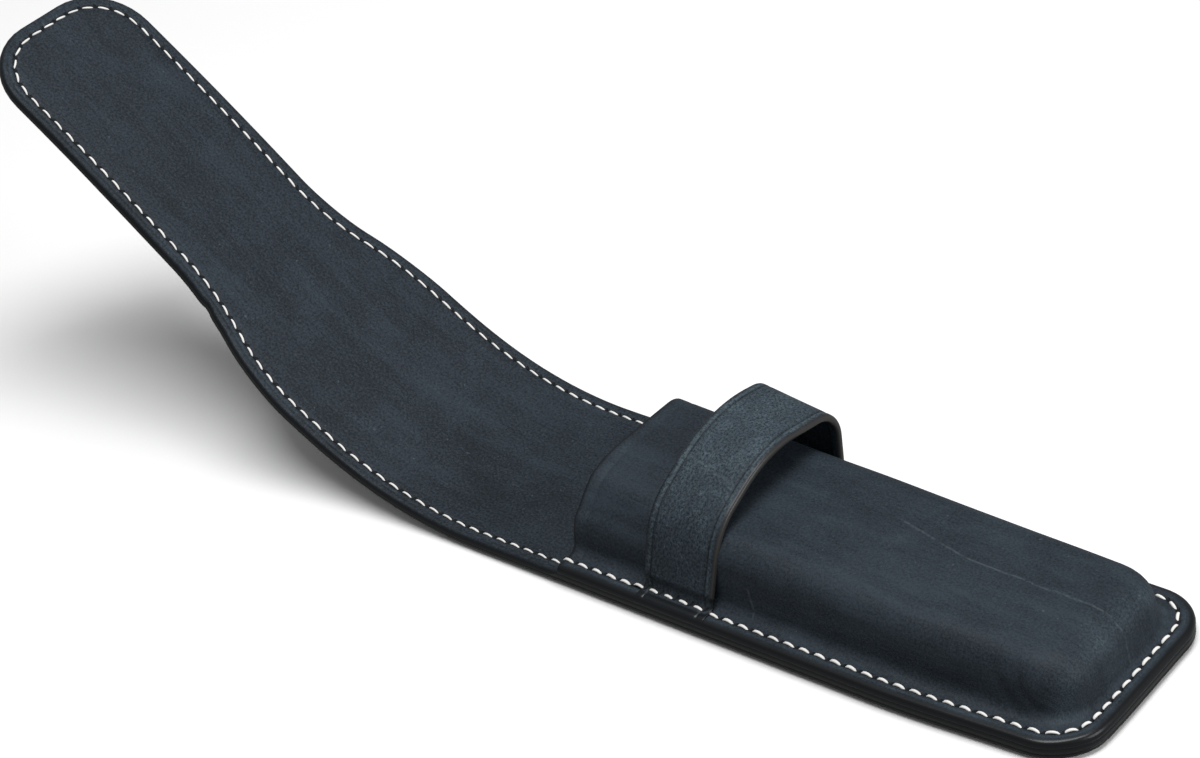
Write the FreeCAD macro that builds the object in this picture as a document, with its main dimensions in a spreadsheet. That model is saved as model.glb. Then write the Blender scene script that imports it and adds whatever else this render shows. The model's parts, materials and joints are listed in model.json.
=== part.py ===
import FreeCAD, Part
import math
import os
import re
import Sketcher

from FreeCAD import Placement, Rotation, Vector

# Pen case of stitched leather: a wet-moulded pocket on a lined back that runs on
# as a long flap, and a keeper strap arched over the pocket for the flap's tongue.
# Origin: at the pocket's mouth, on the middle line, on the face that lies on the table.
# +X points to the closed bottom of the pocket, the flap leaves along -X, +Z is up.
# Lengths are in millimetres and angles in degrees.

DRIVING_SIZES = {
    # Leather and thread
    "outer_leather": 1.8,
    "lining_leather": 1.5,
    "front_leather": 1.6,
    "strap_leather": 1.8,
    "skived_end": 0.6,
    "thread_width": 0.7,
    "thread_height": 0.4,
    "stitch_pitch": 3.9,
    "stitch_gap": 0.8,
    # Seam line and the leather outside it
    "edge_margin": 3.3,
    "seam_half_width": 25,
    "pocket_seam_length": 125.8,
    "pocket_seam_corner": 10.8,
    # Flap, measured along the leather from the pocket's mouth
    "first_fold": 27.3,
    "fold_step": 7.8,
    "curl_step": 11.7,
    "shoulder_step": 12.8,
    "shoulder_run": 22.1,
    "shoulder_straight": 1.1,
    "curl_before_middle": 0.45,
    "flap_seam_length": 188.7,
    "tongue_seam_half_width": 18.2,
    "tip_seam_corner": 12.2,
    "fold_clearance": 0.3,
    "fold_rest_angle": 5,
    "curl_rest_angle": 4.5,
    # Moulded pocket, with heights above the lining
    "mould_side_inset": 3.4,
    "mould_end_inset": 1.7,
    "mould_corner": 9.5,
    "wall_draft": 6,
    "mouth_height": 18.4,
    "bottom_height": 13.7,
    "shoulder_round": 6,
    "foot_round": 1.2,
    "mouth_recess": 1,
    "mouth_lean_round": 18,
    # Keeper strap: corners of its middle line, in from the seam and up from the flange
    "strap_start": 19.8,
    "strap_width": 18.2,
    "strap_foot_inset": 2.1,
    "strap_foot_round": 2,
    "strap_near_inset": 3.4,
    "strap_near_height": 16.9,
    "strap_near_round": 9,
    "strap_crown_offset": 5,
    "strap_crown_height": 24.3,
    "strap_crown_round": 25,
    "strap_far_inset": -0.6,
    "strap_far_height": 20.7,
    "strap_far_round": 6,
}
FOLD_COUNT = 6
TINY = 1e-6

doc = FreeCAD.newDocument("PenCase")
sheet = doc.addObject("Spreadsheet::Sheet", "Sizes")
for row, (alias, value) in enumerate(DRIVING_SIZES.items(), start=1):
    sheet.set("A%d" % row, alias)
    sheet.set("B%d" % row, str(value))
    sheet.setAlias("B%d" % row, alias)
doc.recompute()


def bound(expression):
    """The expression with each driving size named as a cell of the sheet."""
    def name_cell(word):
        return "Sizes." + word.group() if word.group() in DRIVING_SIZES else word.group()
    return re.sub(r"[a-z_]+", name_cell, expression)


def size(expression):
    """The number that an expression of driving sizes gives."""
    return float(sheet.evalExpression(bound(expression)))


def minus(expression):
    return "-(%s)" % expression


def mirrored(corners):
    """Corners along the -Y side, followed by the same corners back along the +Y side."""
    return [(x, minus(y), r) for x, y, r in corners] + corners[::-1]


# Derived sizes, as expressions of the driving ones

BACK = "(outer_leather + lining_leather)"
FLANGE_TOP = "(outer_leather + lining_leather + front_leather)"
EDGE_HALF_WIDTH = "(seam_half_width + edge_margin)"
POCKET_END = "(pocket_seam_length + edge_margin)"
MOULD_HALF_WIDTH = "(seam_half_width - mould_side_inset)"
MOULD_END = "(pocket_seam_length - mould_end_inset)"
STRAP_END = "(strap_start + strap_width)"
HALF_GAP = "(fold_clearance / 2)"
# The front is moulded over-long ahead of the mouth, and its mouth is then trimmed
MOULD_START = "(-2 * mouth_recess)"
# How far a cutting outline runs past the leather that it trims
OVERRUN = "0.4"
# Fold lines of the flap, and the two beyond them where it curls back
FOLD_LINES = ["(first_fold + %d * fold_step)" % number for number in range(FOLD_COUNT)]
FIRST_CURL = "(%s + curl_step)" % FOLD_LINES[-1]
# The narrowing of the flap to the tongue, with the second curl's line near its middle
SHOULDER_START = "(%s + shoulder_step)" % FIRST_CURL
SHOULDER_END = "(%s + shoulder_run)" % SHOULDER_START
SECOND_CURL = "(%s + shoulder_run / 2 - curl_before_middle)" % SHOULDER_START
NECK_SLOPE = "(tongue_seam_half_width - seam_half_width) / shoulder_run"
NECK_HALF_WIDTH = "seam_half_width + (%s - %s) * %s" % (SECOND_CURL, SHOULDER_START, NECK_SLOPE)
# The arcs of the flap's shoulders leave a short straight between them
SHOULDER_RADIUS = "(shoulder_run - shoulder_straight) / 2 / abs(tan(atan(%s) / 2))" % NECK_SLOPE


# Outlines of lines and tangent arcs, given by their corners (x, y, radius)

class Corner:
    """One corner of an outline, with the ends and the centre of its rounding."""

    def __init__(self, before, here, after, radius):
        self.point = here
        self.radius = radius
        self.entry = here
        self.exit = here
        if radius > 0:
            back = (before - here).normalize()
            ahead = (after - here).normalize()
            half_angle = back.getAngle(ahead) / 2
            self.entry = here + back * (radius / math.tan(half_angle))
            self.exit = here + ahead * (radius / math.tan(half_angle))
            self.centre = here + (back + ahead).normalize() * (radius / math.sin(half_angle))
            self.turns_left = back.cross(ahead).z < 0

    def arc(self):
        first, last = (self.entry, self.exit) if self.turns_left else (self.exit, self.entry)
        start = math.atan2(first.y - self.centre.y, first.x - self.centre.x)
        stop = math.atan2(last.y - self.centre.y, last.x - self.centre.x)
        circle = Part.Circle(self.centre, Vector(0, 0, 1), self.radius)
        return Part.ArcOfCircle(circle, start, stop)


def measured_corners(corners, closed):
    points = [Vector(size(x), size(y), 0) for x, y, radius in corners]
    radii = [size(radius) for x, y, radius in corners]
    result = []
    for index, point in enumerate(points):
        is_end = not closed and index in (0, len(points) - 1)
        after = points[(index + 1) % len(points)]
        result.append(Corner(points[index - 1], point, after, 0 if is_end else radii[index]))
    return result


def draw(sketch, corners, closed=True):
    """Draw the outline in a sketch and tie each corner and radius to the sheet."""
    measured = measured_corners(corners, closed)
    count = len(measured)
    lines = []
    for index in range(count if closed else count - 1):
        start = measured[index].exit
        stop = measured[(index + 1) % count].entry
        lines.append(sketch.addGeometry(Part.LineSegment(start, stop), False))
    for index, corner in enumerate(measured):
        line_in = lines[index - 1] if closed or index > 0 else None
        line_out = lines[index] if closed or index < count - 1 else None
        if corner.radius > 0:
            arc = sketch.addGeometry(corner.arc(), False)
            mark = sketch.addGeometry(Part.Point(corner.point), True)
            arc_in, arc_out = (1, 2) if corner.turns_left else (2, 1)
            sketch.addConstraint(Sketcher.Constraint("Tangent", line_in, 2, arc, arc_in))
            sketch.addConstraint(Sketcher.Constraint("Tangent", line_out, 1, arc, arc_out))
            sketch.addConstraint(Sketcher.Constraint("PointOnObject", mark, 1, line_in))
            sketch.addConstraint(Sketcher.Constraint("PointOnObject", mark, 1, line_out))
            radius = sketch.addConstraint(Sketcher.Constraint("Radius", arc, corner.radius))
            sketch.setExpression("Constraints[%d]" % radius, bound(corners[index][2]))
            fixed = (mark, 1)
        else:
            fixed = (line_out, 1) if line_out is not None else (line_in, 2)
            if line_in is not None and line_out is not None:
                sketch.addConstraint(Sketcher.Constraint("Coincident", line_in, 2, line_out, 1))
        places = (("DistanceX", corner.point.x, -2), ("DistanceY", corner.point.y, -1))
        for (kind, value, axis), expression in zip(places, corners[index]):
            if abs(value) < TINY:
                sketch.addConstraint(Sketcher.Constraint("PointOnObject", *fixed, axis))
                continue
            place = sketch.addConstraint(Sketcher.Constraint(kind, -1, 1, *fixed, value))
            sketch.setExpression("Constraints[%d]" % place, bound(expression))


def chain(corners):
    """The open line through the corners, as one wire."""
    measured = measured_corners(corners, closed=False)
    edges = []
    for here, after in zip(measured, measured[1:]):
        edges.append(Part.makeLine(here.exit, after.entry))
        if after.radius > 0:
            edges.append(after.arc().toShape())
    return Part.Wire(Part.sortEdges(edges)[0])


# Bodies and features

def new_body(label):
    body = doc.addObject("PartDesign::Body", label)
    body.Label = label
    return body


def new_sketch(body, role, name, height="0"):
    """A sketch on an origin plane of the body, raised along the plane's normal."""
    sketch = body.newObject("Sketcher::SketchObject", name)
    plane = next(item for item in body.Origin.OriginFeatures if item.Role == role)
    sketch.AttachmentSupport = [(plane, "")]
    sketch.MapMode = "FlatFace"
    sketch.setExpression("AttachmentOffset.Base.z", bound(height))
    return sketch


def pad(body, sketch, name, length):
    feature = body.newObject("PartDesign::Pad", name)
    feature.Profile = sketch
    feature.setExpression("Length", bound(length))
    doc.recompute()
    return feature


def cut_through(body, sketch, name):
    """Cut the sketch's outline through the whole body, to both sides of its plane."""
    feature = body.newObject("PartDesign::Pocket", name)
    feature.Profile = sketch
    feature.Type = "ThroughAll"
    feature.Midplane = True
    before = body.Shape.Volume
    doc.recompute()
    if body.Shape.Volume > before - TINY:
        raise RuntimeError("%s cuts nothing" % name)
    return feature


def fillet(body, base, name, radius, wanted):
    """Round the edges of the base feature that the test picks."""
    edges = ["Edge%d" % (n + 1) for n, edge in enumerate(base.Shape.Edges) if wanted(edge)]
    feature = body.newObject("PartDesign::Fillet", name)
    feature.Base = (base, edges)
    feature.setExpression("Radius", bound(radius))
    doc.recompute()
    return feature


def leather_sheet(label, corners, bottom, thickness):
    """A flat piece of leather of one outline."""
    body = new_body(label)
    outline = new_sketch(body, "XY_Plane", label + "_outline", bottom)
    draw(outline, corners)
    pad(body, outline, label + "_sheet", thickness)
    return body


# The back: outer leather and lining, one outline, from the first fold to the bottom

def back_corners():
    return mirrored([
        ("%s - first_fold" % HALF_GAP, EDGE_HALF_WIDTH, "0"),
        (POCKET_END, EDGE_HALF_WIDTH, "pocket_seam_corner + edge_margin"),
    ])


# The pocket's front, moulded wet over a form: a shell with a flat flange on three sides

def build_form(body, inset):
    """The moulded bulge, drawn in all round by the inset: drafted walls, crown and shoulders."""
    footprint = new_sketch(body, "XY_Plane", body.Label + "_footprint", BACK)
    half_width = "%s - %s" % (MOULD_HALF_WIDTH, inset)
    end = "%s - %s" % (MOULD_END, inset)
    draw(footprint, mirrored([
        (MOULD_START, half_width, "0"),
        (end, half_width, "mould_corner - %s" % inset),
    ]))
    height = "mouth_height - %s" % inset
    bulge = pad(body, footprint, body.Label + "_bulge", height)
    bulge.setExpression("TaperAngle", bound("-wall_draft"))
    doc.recompute()

    # The crown falls from the mouth to the bottom
    crown = new_sketch(body, "XZ_Plane", body.Label + "_slope")
    mouth_top = "%s + %s" % (BACK, height)
    bottom_top = "%s + bottom_height - %s" % (BACK, inset)
    draw(crown, [
        (MOULD_START, mouth_top, "0"),
        (end, bottom_top, "0"),
        (end, mouth_top, "0"),
    ])
    sloped = cut_through(body, crown, body.Label + "_crown")

    def on_shoulder(edge):
        box = edge.BoundBox
        return box.ZMin > size(bottom_top) - TINY and box.XMax > 0

    fillet(body, sloped, body.Label + "_shoulders", "shoulder_round - %s" % inset, on_shoulder)


def build_pocket_front():
    form = new_body("moulding_form")
    build_form(form, "front_leather")

    skin = new_body("moulded_skin")
    build_form(skin, "0")
    flange = new_sketch(skin, "XY_Plane", "flange_outline", BACK)
    draw(flange, mirrored([
        (MOULD_START, EDGE_HALF_WIDTH, "0"),
        (POCKET_END, EDGE_HALF_WIDTH, "pocket_seam_corner + edge_margin"),
    ]))
    rim = pad(skin, flange, "flange", "front_leather")

    # A soft bend where the wall leaves the flange
    def on_foot(edge):
        box = edge.BoundBox
        level = max(abs(box.ZMin - size(FLANGE_TOP)), abs(box.ZMax - size(FLANGE_TOP)))
        widest = max(abs(box.YMin), abs(box.YMax))
        inside = widest < size(MOULD_HALF_WIDTH) and box.XMax < size(MOULD_END)
        return level < TINY and inside and box.XMax > 0

    fillet(skin, rim, "foot_bend", "foot_round", on_foot)

    # The mouth's edge leans back, because the crown takes up more leather than the flange
    mouth = new_sketch(skin, "XZ_Plane", "mouth_line")
    ahead = "%s - %s" % (MOULD_START, OVERRUN)
    below = "%s - %s" % (BACK, OVERRUN)
    crown = BACK + " + mouth_height"
    above = "%s + %s" % (crown, OVERRUN)
    draw(mouth, [
        (ahead, below, "0"),
        ("0", below, "0"),
        ("0", FLANGE_TOP, "0"),
        ("mouth_recess", crown + " - shoulder_round", "mouth_lean_round"),
        ("mouth_recess", above, "0"),
        (ahead, above, "0"),
    ])
    cut_through(skin, mouth, "mouth_cut")

    front = doc.addObject("Part::Cut", "pocket_front")
    front.Label = "pocket_front"
    front.Base = skin
    front.Tool = form
    doc.recompute()
    return front


# The keeper: a strap arched over the pocket, its ends skived thin under the seam

def build_keeper_strap():
    body = new_body("keeper_strap")
    level = FLANGE_TOP + " + strap_leather / 2"
    foot = "seam_half_width - strap_foot_inset"
    path = new_sketch(body, "YZ_Plane", "strap_path", "strap_start + strap_width / 2")
    draw(path, [
        (minus(EDGE_HALF_WIDTH), level, "0"),
        (minus(foot), level, "strap_foot_round"),
        ("strap_near_inset - seam_half_width", FLANGE_TOP + " + strap_near_height", "strap_near_round"),
        ("strap_crown_offset", FLANGE_TOP + " + strap_crown_height", "strap_crown_round"),
        ("seam_half_width - strap_far_inset", FLANGE_TOP + " + strap_far_height", "strap_far_round"),
        (foot, level, "strap_foot_round"),
        (EDGE_HALF_WIDTH, level, "0"),
    ], closed=False)
    section = new_sketch(body, "XZ_Plane", "strap_section", EDGE_HALF_WIDTH)
    draw(section, [
        ("strap_start", FLANGE_TOP, "0"),
        (STRAP_END, FLANGE_TOP, "0"),
        (STRAP_END, FLANGE_TOP + " + strap_leather", "0"),
        ("strap_start", FLANGE_TOP + " + strap_leather", "0"),
    ])
    doc.recompute()
    strap = body.newObject("PartDesign::AdditivePipe", "strap_arch")
    strap.Profile = section
    strap.Spine = path
    doc.recompute()

    # Each end is pared thin from just inside the seam to the edge
    pared_top = FLANGE_TOP + " + skived_end"
    above = "%s + strap_leather + %s" % (FLANGE_TOP, OVERRUN)
    outside = "(%s + %s)" % (EDGE_HALF_WIDTH, OVERRUN)
    inside_seam = "(seam_half_width - thread_width)"
    for sign, side in (("-", "near"), ("", "far")):
        wedge = new_sketch(body, "YZ_Plane", side + "_paring", "strap_start + strap_width / 2")
        draw(wedge, [
            (sign + outside, pared_top, "0"),
            (sign + inside_seam, pared_top, "0"),
            ("%s(%s - strap_leather / 2)" % (sign, inside_seam), above, "0"),
            (sign + outside, above, "0"),
        ])
        cut_through(body, wedge, side + "_pared_end")
    return body


# The seam's upper thread: one short bar for each stitch

def stitches(label, runs):
    """Stitches along runs of (corners, height, how much the leather under a stitch lifts it)."""
    bars = []
    width = size("thread_width")
    gap = size("stitch_gap")
    for corners, height, lift in runs:
        path = chain(corners)
        count = max(1, round(path.Length / size("stitch_pitch")))
        holes = path.discretize(Number=count + 1)
        for start, stop in zip(holes, holes[1:]):
            along = stop - start
            middle = (start + stop) * 0.5
            bar = Part.makeBox(along.Length - gap, width, size("thread_height"))
            bar.translate(Vector(gap / 2, -width / 2, 0))
            turn = math.degrees(math.atan2(along.y, along.x))
            place = Vector(start.x, start.y, size(height) + lift(middle))
            bar.Placement = Placement(place, Rotation(Vector(0, 0, 1), turn)).multiply(bar.Placement)
            bars.append(bar)
    feature = doc.addObject("Part::Feature", label)
    feature.Label = label
    feature.Shape = Part.makeCompound(bars)
    return feature


def flat(middle):
    return 0


def over_strap_end(middle):
    """The strap's pared end raises the stitches that cross it."""
    reach = size("strap_width + stitch_pitch") / 2
    crosses = abs(middle.x - size("strap_start + strap_width / 2")) < reach
    return size("skived_end") if crosses else 0


def build_pocket_thread():
    flange_run = mirrored([
        ("0", "seam_half_width", "0"),
        ("pocket_seam_length", "seam_half_width", "pocket_seam_corner"),
    ])
    near_run = [("-first_fold", "-seam_half_width", "0"), ("0", "-seam_half_width", "0")]
    far_run = [("0", "seam_half_width", "0"), ("-first_fold", "seam_half_width", "0")]
    return stitches("pocket_thread", [
        (near_run, BACK, flat),
        (flange_run, FLANGE_TOP, over_strap_end),
        (far_run, BACK, flat),
    ])


# The flap: short lengths of lined leather, each turned at a fold line from the one before.
# A length is drawn from its fold line at x = 0 along -X, with the lining's face at z = 0.

STATIONS = FOLD_LINES + [FIRST_CURL, SECOND_CURL]
REST_ANGLES = ["fold_rest_angle"] * FOLD_COUNT + ["curl_rest_angle"] * 2


def flap_side(number, margin, clearance):
    """Corners of one side of a length, at a margin outside the seam."""
    start = STATIONS[number]
    wide = "seam_half_width + " + margin
    narrow = "tongue_seam_half_width + " + margin
    at_neck = "%s + %s" % (NECK_HALF_WIDTH, margin)
    begin = "-%s" % clearance
    if start == SECOND_CURL:
        return [
            (begin, at_neck, "0"),
            ("%s - %s" % (SECOND_CURL, SHOULDER_END), narrow, SHOULDER_RADIUS + " - " + margin),
            ("%s - flap_seam_length - %s" % (SECOND_CURL, margin), narrow, "tip_seam_corner + " + margin),
        ]
    end = "%s - %s + %s" % (start, STATIONS[number + 1], clearance)
    if start == FIRST_CURL:
        return [
            (begin, wide, "0"),
            ("-shoulder_step", wide, SHOULDER_RADIUS + " + " + margin),
            (end, at_neck, "0"),
        ]
    return [(begin, wide, "0"), (end, wide, "0")]


def flap_thread(label, number):
    side = flap_side(number, "0", "0")
    if STATIONS[number] == SECOND_CURL:
        return stitches(label, [(mirrored(side), "0", flat)])
    near = [(x, minus(y), radius) for x, y, radius in side]
    return stitches(label, [(near, "0", flat), (side, "0", flat)])


def build_flap():
    """All lengths of the flap in the rest pose, from the mouth to the tongue."""
    pieces = []
    fold_line = Vector(-size("first_fold"), 0, size(BACK))
    angle = 0
    for number, rest_angle in enumerate(REST_ANGLES):
        angle += size(rest_angle)
        place = Placement(fold_line, Rotation(Vector(0, 1, 0), angle))
        is_tongue = STATIONS[number] == SECOND_CURL
        name = "tongue_%s" if is_tongue else "flap_%s_" + str(number + 1)
        outline = mirrored(flap_side(number, "edge_margin", HALF_GAP))
        lining = leather_sheet(name % "lining", outline, "-lining_leather", "lining_leather")
        outer = leather_sheet(name % "outer", outline, minus(BACK), "outer_leather")
        thread = flap_thread(name % "thread", number)
        for piece in (outer, lining, thread):
            piece.Placement = place
            pieces.append(piece)
        if not is_tongue:
            length = size("%s - %s" % (STATIONS[number + 1], STATIONS[number]))
            fold_line = place.multVec(Vector(-length, 0, 0))
    return pieces


# The whole case

sub_parts = [
    leather_sheet("outer_back", back_corners(), "0", "outer_leather"),
    leather_sheet("lining_back", back_corners(), "outer_leather", "lining_leather"),
    build_pocket_front(),
    build_keeper_strap(),
    build_pocket_thread(),
] + build_flap()
doc.recompute()

for item in doc.Objects:
    if "Invalid" in item.State or "Error" in item.State:
        raise RuntimeError("%s failed to build" % item.Label)
for piece in sub_parts:
    if piece.Shape.isNull() or not piece.Shape.isValid():
        raise RuntimeError("%s has no valid shape" % piece.Label)

os.makedirs("parts", exist_ok=True)
for piece in sub_parts:
    piece.Shape.exportStep("parts/%s.step" % piece.Label)
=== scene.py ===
import bmesh
import bpy
import json
import math
import random
from mathutils import Matrix, Vector, noise
from mathutils.kdtree import KDTree
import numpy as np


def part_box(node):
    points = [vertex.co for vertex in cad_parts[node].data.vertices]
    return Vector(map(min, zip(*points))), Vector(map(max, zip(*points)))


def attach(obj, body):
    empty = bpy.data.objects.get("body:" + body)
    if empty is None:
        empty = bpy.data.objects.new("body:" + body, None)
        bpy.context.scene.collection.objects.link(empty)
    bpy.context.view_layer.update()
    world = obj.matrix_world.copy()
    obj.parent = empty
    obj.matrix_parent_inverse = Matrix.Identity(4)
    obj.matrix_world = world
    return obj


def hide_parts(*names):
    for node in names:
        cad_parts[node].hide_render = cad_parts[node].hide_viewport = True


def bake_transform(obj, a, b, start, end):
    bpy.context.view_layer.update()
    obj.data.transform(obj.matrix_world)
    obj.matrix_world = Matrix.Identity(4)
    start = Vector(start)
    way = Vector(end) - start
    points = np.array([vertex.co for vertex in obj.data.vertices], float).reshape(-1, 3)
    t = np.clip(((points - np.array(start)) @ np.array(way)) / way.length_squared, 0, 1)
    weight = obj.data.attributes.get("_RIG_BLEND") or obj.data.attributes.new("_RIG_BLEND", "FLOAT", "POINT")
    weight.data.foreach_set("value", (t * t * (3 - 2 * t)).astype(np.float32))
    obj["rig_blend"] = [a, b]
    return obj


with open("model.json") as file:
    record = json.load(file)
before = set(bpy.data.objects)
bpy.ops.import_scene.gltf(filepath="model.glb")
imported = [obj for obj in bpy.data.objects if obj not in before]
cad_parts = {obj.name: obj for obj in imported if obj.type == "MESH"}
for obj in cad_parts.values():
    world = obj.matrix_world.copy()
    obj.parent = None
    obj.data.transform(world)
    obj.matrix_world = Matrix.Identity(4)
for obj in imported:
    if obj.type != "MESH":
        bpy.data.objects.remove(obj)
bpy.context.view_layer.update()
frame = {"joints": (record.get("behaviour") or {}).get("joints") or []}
MM = 0.001


# The leather. Full-grain hide, dyed blue-black through and waxed by hand, so that it is
# lighter where wax has risen to the grain and nearly black where edges were rubbed round;
# ridges also carry a painted highlight, and grooves, folds, creases and slits painted shade.

class Value:
    """One value in a material's nodes; Python's operators on it add Math nodes."""

    def __init__(self, shader, socket):
        self.shader = shader
        self.socket = socket

    def maths(self, operation, *others, swap=False):
        operands = [self, *others][::-1] if swap else [self, *others]
        values = dict(enumerate(operands))
        return self.shader.node("ShaderNodeMath", {"operation": operation}, values)

    def __add__(self, other):
        return self.maths("ADD", other)

    def __sub__(self, other):
        return self.maths("SUBTRACT", other)

    def __rsub__(self, other):
        return self.maths("SUBTRACT", other, swap=True)

    def __mul__(self, other):
        return self.maths("MULTIPLY", other)

    def __truediv__(self, other):
        return self.maths("DIVIDE", other)

    def __abs__(self):
        return self.maths("ABSOLUTE")

    __radd__ = __add__
    __rmul__ = __mul__

    def or_more(self, other):
        return self.maths("MAXIMUM", other)

    def between(self, low, high):
        """0 at low, 1 at high and a soft curve from one to the other."""
        settings = {"interpolation_type": "SMOOTHSTEP"}
        return self.shader.node("ShaderNodeMapRange", settings, {0: self, 1: low, 2: high})


class Shader:
    """A material, built one node at a time."""

    def __init__(self, name):
        self.material = bpy.data.materials.new(name)
        self.material.use_nodes = True
        self.tree = self.material.node_tree
        self.surface = self.tree.nodes["Principled BSDF"]

    def node(self, kind, settings, values, result=0):
        made = self.tree.nodes.new(kind)
        for name, setting in settings.items():
            setattr(made, name, setting)
        self.feed(made, values)
        return Value(self, made.outputs[result])

    def feed(self, made, values):
        for name, value in values.items():
            if isinstance(value, Value):
                self.tree.links.new(value.socket, made.inputs[name])
            else:
                made.inputs[name].default_value = value

    def blend(self, share, first, second):
        """Colour that runs from the first to the second as the share goes from 0 to 1."""
        return self.node("ShaderNodeMix", {"data_type": "RGBA"}, {0: share, 6: first, 7: second}, 2)

    def attribute(self, name):
        return self.node("ShaderNodeAttribute", {"attribute_name": name}, {}, "Fac")

    def on_leather(self, stretch=(1, 1, 1)):
        """Place on the hide in millimetres, from the piece's own map of its flat cut."""
        flat = self.node("ShaderNodeUVMap", {"uv_map": "hide"}, {})
        scale = [1 / MM * share for share in stretch]
        return self.node("ShaderNodeVectorMath", {"operation": "MULTIPLY"}, {0: flat, 1: scale})

    def noise(self, place, scale, detail=3, roughness=0.5, distortion=0):
        values = {"Vector": place, "Scale": scale, "Detail": detail, "Roughness": roughness,
                  "Distortion": distortion}
        return self.node("ShaderNodeTexNoise", {}, values, "Fac")

    def bump(self, height, strength):
        values = {"Height": height, "Distance": MM, "Strength": strength}
        return self.node("ShaderNodeBump", {}, values)

    def along(self, place, direction):
        """How far a place lies along a direction of the hide."""
        values = {0: place, 1: (*direction, 0)}
        return self.node("ShaderNodeVectorMath", {"operation": "DOT_PRODUCT"}, values, "Value")

    def scratch(self, hide, start, end, width):
        """1 on a wandering hairline between two places on the hide, in millimetres."""
        line = Vector(end) - Vector(start)
        direction = line.normalized()
        values = {0: hide, 1: (*start, 0)}
        place = self.node("ShaderNodeVectorMath", {"operation": "SUBTRACT"}, values)
        run = self.along(place, direction)
        wander = (self.noise(hide, 0.13, 2) - 0.5) * 1.5
        off = abs(self.along(place, (-direction.y, direction.x)) + wander)
        inside = run.between(-1, 1) * (1 - run.between(line.length - 1, line.length + 1))
        faint = self.noise(hide, 0.7, 3).between(0.30, 0.62)
        return (1 - off.between(width * 0.35, width)) * inside * faint


DEEP_DYE = (0.0060, 0.0092, 0.0130, 1)
BODY_DYE = (0.0300, 0.0420, 0.0550, 1)
# Colour of the risen wax, also used for the painted highlight on ridges
WAX_BLOOM_AND_HIGHLIGHT = (0.0800, 0.1130, 0.1350, 1)
# Near black of the burnished edges, also used as painted shade in grooves, folds, creases and slits
BURNISHED_AND_SHADE = (0.0030, 0.0042, 0.0056, 1)
RAW_EDGE = (0.0560, 0.0530, 0.0500, 1)
SCRATCH = (0.1000, 0.1250, 0.1450, 1)
SEAM_INSET = 3.3 * MM


def waxed_leather(name, bloom, depth, speckle, scratches=()):
    """Waxed hide: bloom is how much wax shows, depth how much of it stays deep in colour and
    speckle how strongly its grain is marked."""
    leather = Shader(name)
    hide = leather.on_leather()
    drawn = leather.on_leather((0.22, 1.5, 1))
    edge = leather.attribute("edge")
    # Mask of the painted shade in the seam's groove, the corner folds and the strap's creases
    groove = leather.attribute("groove")
    # Mask of the painted highlight on ridges and on the top of the strap's arch
    painted_highlight = leather.attribute("painted_highlight")

    # Clouds of dye, streaks where the hide was drawn over the table, and its fine grain
    clouds = leather.noise(hide, 0.038, 8, 0.74, 0.3).between(0.34, 0.70)
    streaks = leather.noise(drawn, 0.11, 6, 0.7, 0.4).between(0.38, 0.72)
    grain = leather.noise(hide, 1.7, 5, 0.85) - 0.5
    patches = leather.noise(hide, 0.17, 6, 0.72, 0.7).between(0.44, 0.74)
    tone = clouds * 0.34 + streaks * 0.26 + grain * speckle * 3.0 + (0.50 - depth * 0.5)
    colour = leather.blend(tone.between(-0.1, 1.05), DEEP_DYE, BODY_DYE)
    wax_and_painted_highlight = (patches * 0.85 + 0.15) * (grain * speckle * 3 + 0.40) * bloom
    # Painted highlight on ridges, added to the risen wax
    wax_and_painted_highlight = wax_and_painted_highlight + painted_highlight * (grain * 2 + 0.45)
    colour = leather.blend(wax_and_painted_highlight.between(0.0, 1.0), colour, WAX_BLOOM_AND_HIGHLIGHT)
    flecks = leather.noise(hide, 0.62, 2, 0.4).between(0.735, 0.77)
    marks = flecks * 0.35
    for start, end, width in scratches:
        marks = marks.or_more(leather.scratch(hide, start, end, width) * 0.34)
    colour = leather.blend(marks, colour, SCRATCH)

    # Slanted slits of the pricking iron, one at each end of every stitch, painted dark as shade in the holes
    off = (leather.attribute("inset") - SEAM_INSET) / MM
    turns = leather.attribute("stitch") + off * 0.19 + 0.5
    slit = 1 - abs(turns.maths("FRACT") - 0.5).between(0.04, 0.10)
    slit = slit * (1 - abs(off).between(0.42, 0.62))
    # Burnished edges are truly dark; the groove and slit masks add painted shade
    sunk = edge.or_more(groove * 0.85).or_more(slit)
    colour = leather.blend(sunk, colour, BURNISHED_AND_SHADE)
    colour = leather.blend(leather.attribute("raw"), colour, RAW_EDGE)

    # Pores between low pebbles, over the hide's own slow waves
    cells = {"Vector": hide, "Scale": 1.25}
    pebbles = leather.node("ShaderNodeTexVoronoi", {"feature": "SMOOTH_F1"}, cells)
    fine = leather.noise(hide, 3.4, 4, 0.7)
    waves = leather.noise(drawn, 0.22, 4, 0.55, 0.5)
    smooth = 1 - edge * 0.85
    relief = (pebbles * 0.05 + fine * 0.07 + waves * 0.30) * smooth - slit * 0.25 - marks * 0.03
    roughness = 0.50 + clouds * 0.08 + fine * 0.14 - wax_and_painted_highlight * 0.05 - edge * 0.22
    leather.feed(leather.surface, {
        "Base Color": colour,
        "Roughness": roughness,
        "Coat Weight": edge * 0.3,
        "Coat Roughness": 0.2,
        "Normal": leather.bump(relief, 0.6),
        "Specular IOR Level": 0.18,
    })
    return leather.material


# Back and flap. Outer leather and lining are two long pieces of one outline, glued face to
# face; they make the case's back, its flap and the tongue. The edge is rubbed round.

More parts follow.
